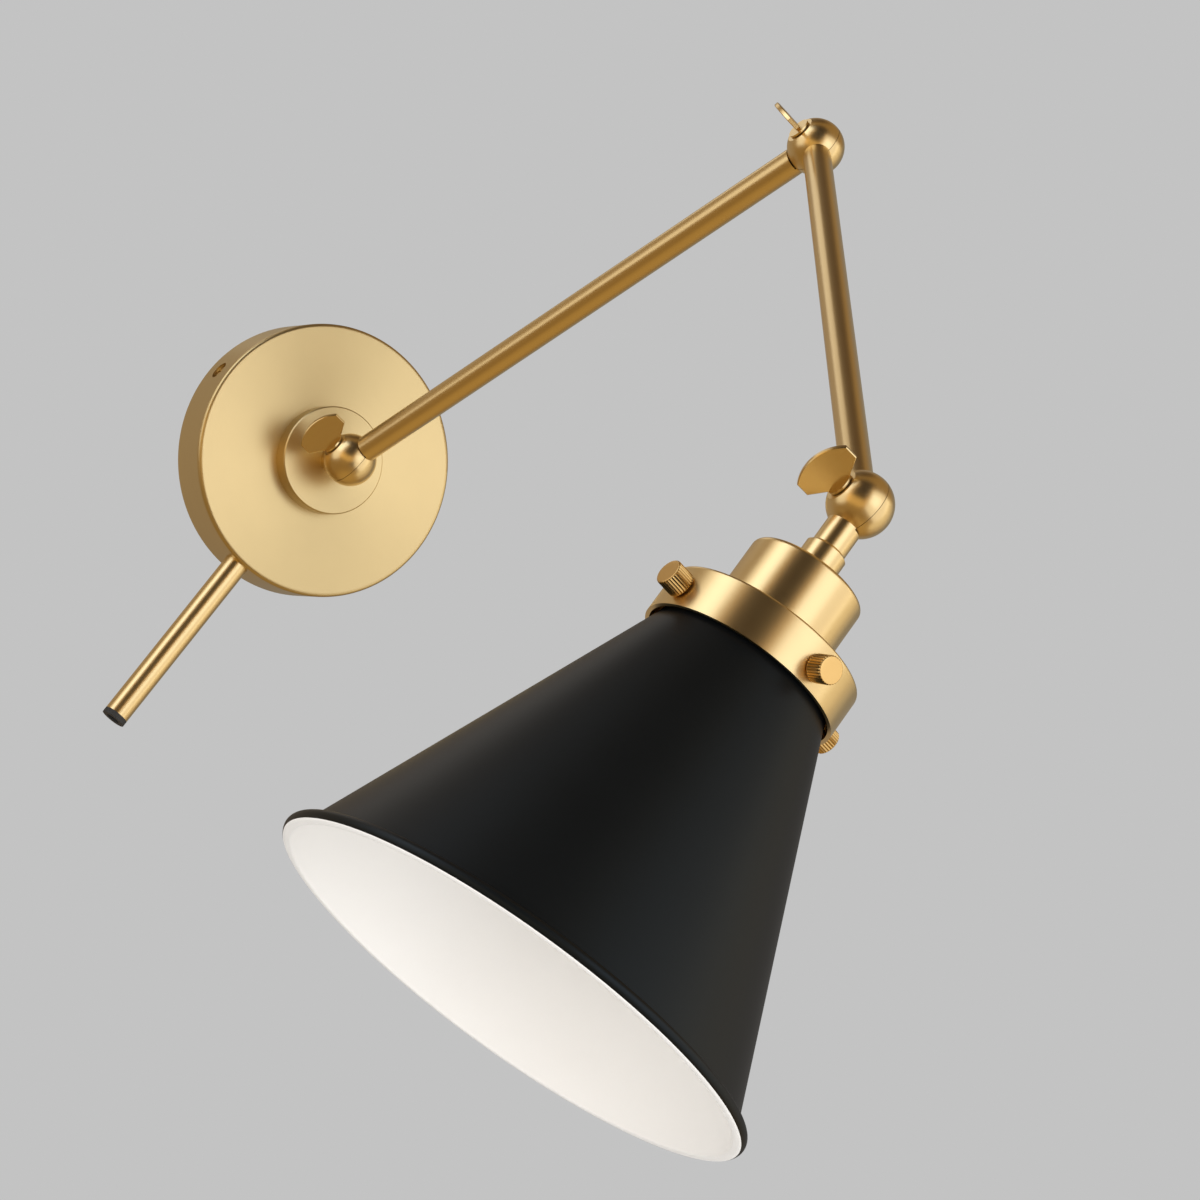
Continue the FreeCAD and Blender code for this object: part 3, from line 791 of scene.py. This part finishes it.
def shell_outline():
    """Up the outside and down the inside; the thread fades out over a few rows at both ends."""
    outside = [(flange_hole_r, shell_foot), (shell_r - shell_edge, shell_foot)]
    inside = []
    for i in range(shell_rows + 1):
        height = shell_foot + shell_edge + (shell_length - shell_edge - 0.2 * MM) * i / shell_rows
        strength = min(1.0, i / fading_rows, (shell_rows - i) / fading_rows)
        outside.append((shell_r, height, {"thread": strength}))
        inside.append((shell_r - shell_sheet, height, {"thread": strength}))
    inside.reverse()
    flange = [
        (shell_r - shell_sheet - flange_edge, shell_foot + shell_sheet),
        (flange_hole_r, shell_foot + shell_sheet), (flange_hole_r, shell_foot),
    ]
    return outside + inside + flange


shell = turned_piece(
    "screw_shell_rolled", shell_outline(), head_ball, head_axis, shell_brass, shell_brass,
    steps=96, thread_pitch=lamp_pitch, thread_depth=lamp_depth,
)
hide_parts("screw_shell")
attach(shell, "lamp_head")

# %% [markdown]
# ## Floor and surroundings
# A sconce hangs in the air, so the floor is only a pale plane far below it, out of the main
# view, and the brass doesn't mirror it. The world stands for the studio: the camera sees the
# plain grey of the photograph, matt surfaces get an even grey light, and polished metal sees
# that grey towards the wall and a dim, warm room elsewhere, darkest where the photograph's brass
# has its dark bands. A direction is enough for that, so the world reads the ray's own direction
# and the kind of ray, and nothing else.

# %% Floor
floor_z, floor_reach = -1.9, 30
floor_mesh = bpy.data.meshes.new("floor")
floor_mesh.from_pydata(
    [(x * floor_reach, y * floor_reach, floor_z)
     for x, y in ((-1, -1), (1, -1), (1, 1), (-1, 1))],
    [], [(0, 1, 2, 3)],
)
floor = bpy.data.objects.new("floor", floor_mesh)
bpy.context.scene.collection.objects.link(floor)
floor_mesh.materials.append(finish_material(
    "pale floor", speckle, (0.88, 0.88, 0.88),
    {"Grain size": 0.01, "Colour change": 0.01, "Roughness": 0.8, "Roughness change": 0.02},
    bump=0.00001,
))
floor.visible_glossy = False

# %% World
BACKDROP = (0.546, 0.546, 0.546, 1)
SOFT_LIGHT = (0.55, 0.55, 0.55, 1)
ROOM = (0.28, 0.17, 0.06, 1)
WALL_IN_METAL = 0.28

# Parts of the room: azimuth and elevation of the middle, the angle within which it has its full
# colour, the angle where it ends, and the colour. A later part lies over the ones before it.
ROOM_PARTS = (
    (85, -60, 5, 45, (0.42, 0.265, 0.09, 1)),     # low on the right
    (-48, 30, 26, 46, (0.02, 0.009, 0.002, 1)),   # dark gap between the boxes
    (-150, 58, 6, 26, (0.07, 0.035, 0.01, 1)),    # high behind on the left
    (136, 20, 20, 46, (0.21, 0.19, 0.17, 1)),     # wall on the right
)


def direction(azimuth, elevation):
    """Unit vector; azimuth 0 points away from the wall and grows towards +X."""
    a, e = math.radians(azimuth), math.radians(elevation)
    return Vector((math.sin(a) * math.cos(e), -math.cos(a) * math.cos(e), math.sin(e)))


def lobe(tree, ray, towards, full, none):
    """1 within the full angle of a direction, fading to 0 at the none angle."""
    along_it = add_node(
        tree, "ShaderNodeVectorMath", {0: ray, 1: towards}, operation="DOT_PRODUCT"
    ).outputs["Value"]
    return add_node(tree, "ShaderNodeMapRange", {
        "Value": along_it,
        "From Min": math.cos(math.radians(none)), "From Max": math.cos(math.radians(full)),
    }, interpolation_type="SMOOTHSTEP").outputs[0]


def mix_colour(tree, factor, first, second):
    """Colour mix; sockets 0, 6 and 7 are its factor and colours, and output 2 is the result."""
    node = add_node(tree, "ShaderNodeMix", data_type="RGBA")
    for socket, value in ((0, factor), (6, first), (7, second)):
        if isinstance(value, bpy.types.NodeSocket):
            tree.links.new(value, node.inputs[socket])
        else:
            node.inputs[socket].default_value = value
    return node.outputs[2]


world = bpy.data.worlds.new("studio")
world.use_nodes = True
bpy.context.scene.world = world
tree = world.node_tree
ray = add_node(tree, "ShaderNodeTexCoord").outputs["Generated"]
room = ROOM
for azimuth, elevation, full, none, colour in ROOM_PARTS:
    part = lobe(tree, ray, direction(azimuth, elevation), full, none)
    room = mix_colour(tree, part, room, colour)
to_wall = lobe(tree, ray, direction(180, 0), 15, 70)
paths = add_node(tree, "ShaderNodeLightPath").outputs
shiny = math_node(tree, "MAXIMUM", paths["Is Glossy Ray"], paths["Is Transmission Ray"])
seen = math_node(
    tree, "MULTIPLY", math_node(tree, "MULTIPLY", shiny, to_wall), WALL_IN_METAL
)
seen = math_node(tree, "MAXIMUM", seen, paths["Is Camera Ray"])
around = mix_colour(tree, shiny, SOFT_LIGHT, room)
surroundings = mix_colour(tree, seen, around, BACKDROP)
tree.links.new(surroundings, tree.nodes["Background"].inputs["Color"])
print("world ready")

# %% [markdown]
# ## Studio lights
# Brass shows its lights more than its own colour, so their places matter. The bright bands in
# the photograph tell where they stood: a broad soft box to the right that reaches far round, a
# tall one at the left, a weak one low in front, a small one behind on the left, and a dark gap
# between the first two. The big ones have a cooler, brighter core and an amber edge towards the
# gap, as the bands do. Each is an area light that faces the lamp. Its size is given as the
# angles that it fills, and its strength as the brightness of its surface. Two fills below the
# camera's height light the inside of the shade; only matt surfaces show them.

# %% Soft boxes
middle = Vector((0, -0.27, 0.02))
FAR, NEARER, NEAR = 2.4, 2.3, 1.2
WHITE_LIGHT, COOL_LIGHT, WARM_LIGHT = (0.99, 1.0, 1.02), (0.89, 1.03, 1.26), (1.05, 1.0, 0.84)
AMBER_LIGHT, GOLD_LIGHT, PALE_LIGHT = (1.2, 0.68, 0.17), (1.2, 0.8, 0.3), (1.02, 0.99, 0.9)
FILL_LIGHT = (0.96, 1.0, 1.06)


def soft_box(name, azimuth, elevation, wide, tall, brightness, tint, distance=FAR):
    light = bpy.data.lights.new(name, "AREA")
    light.shape = "RECTANGLE"
    light.size = 2 * distance * math.tan(math.radians(wide / 2))
    light.size_y = 2 * distance * math.tan(math.radians(tall / 2))
    light.energy = brightness * math.pi * light.size * light.size_y
    light.color = tint
    lamp = bpy.data.objects.new(name, light)
    outwards = direction(azimuth, elevation)
    lamp.matrix_world = (
        Matrix.Translation(middle + outwards * distance)
        @ outwards.to_track_quat("Z", "Y").to_matrix().to_4x4()
    )
    lamp.visible_camera = False
    bpy.context.scene.collection.objects.link(lamp)
    return lamp


# Azimuth and elevation, angles wide and tall, brightness, colour, and distance if it isn't far.
soft_box("left box", -96, 1, 40, 74, 0.72, WHITE_LIGHT)
soft_box("left box, core", -89, 16, 26, 42, 0.72, COOL_LIGHT, NEARER)
soft_box("left box, edge", -70.5, 6, 12, 64, 0.36, AMBER_LIGHT)
soft_box("right box, edge", -14, 14, 10, 74, 0.36, AMBER_LIGHT)
soft_box("right box", 25.5, 14, 69, 74, 0.73, WHITE_LIGHT)
soft_box("right box, core", 8, 18, 32, 32, 0.5, COOL_LIGHT, NEARER)
soft_box("far right box", 68, 8, 26, 80, 0.5, WARM_LIGHT)
soft_box("far right edge", 90, 8, 20, 70, 0.23, PALE_LIGHT)
soft_box("low front box", -46, -18, 50, 26, 0.34, GOLD_LIGHT)
soft_box("back left box", -153, 32, 22, 20, 0.54, WHITE_LIGHT)
for fill in (
    soft_box("fill, left", -44, -20, 46, 46, 1.7, FILL_LIGHT, NEAR),
    soft_box("fill, right", 42, -20, 46, 46, 1.4, FILL_LIGHT, NEAR),
):
    fill.visible_glossy = False
print("lights:", len(bpy.data.lights))
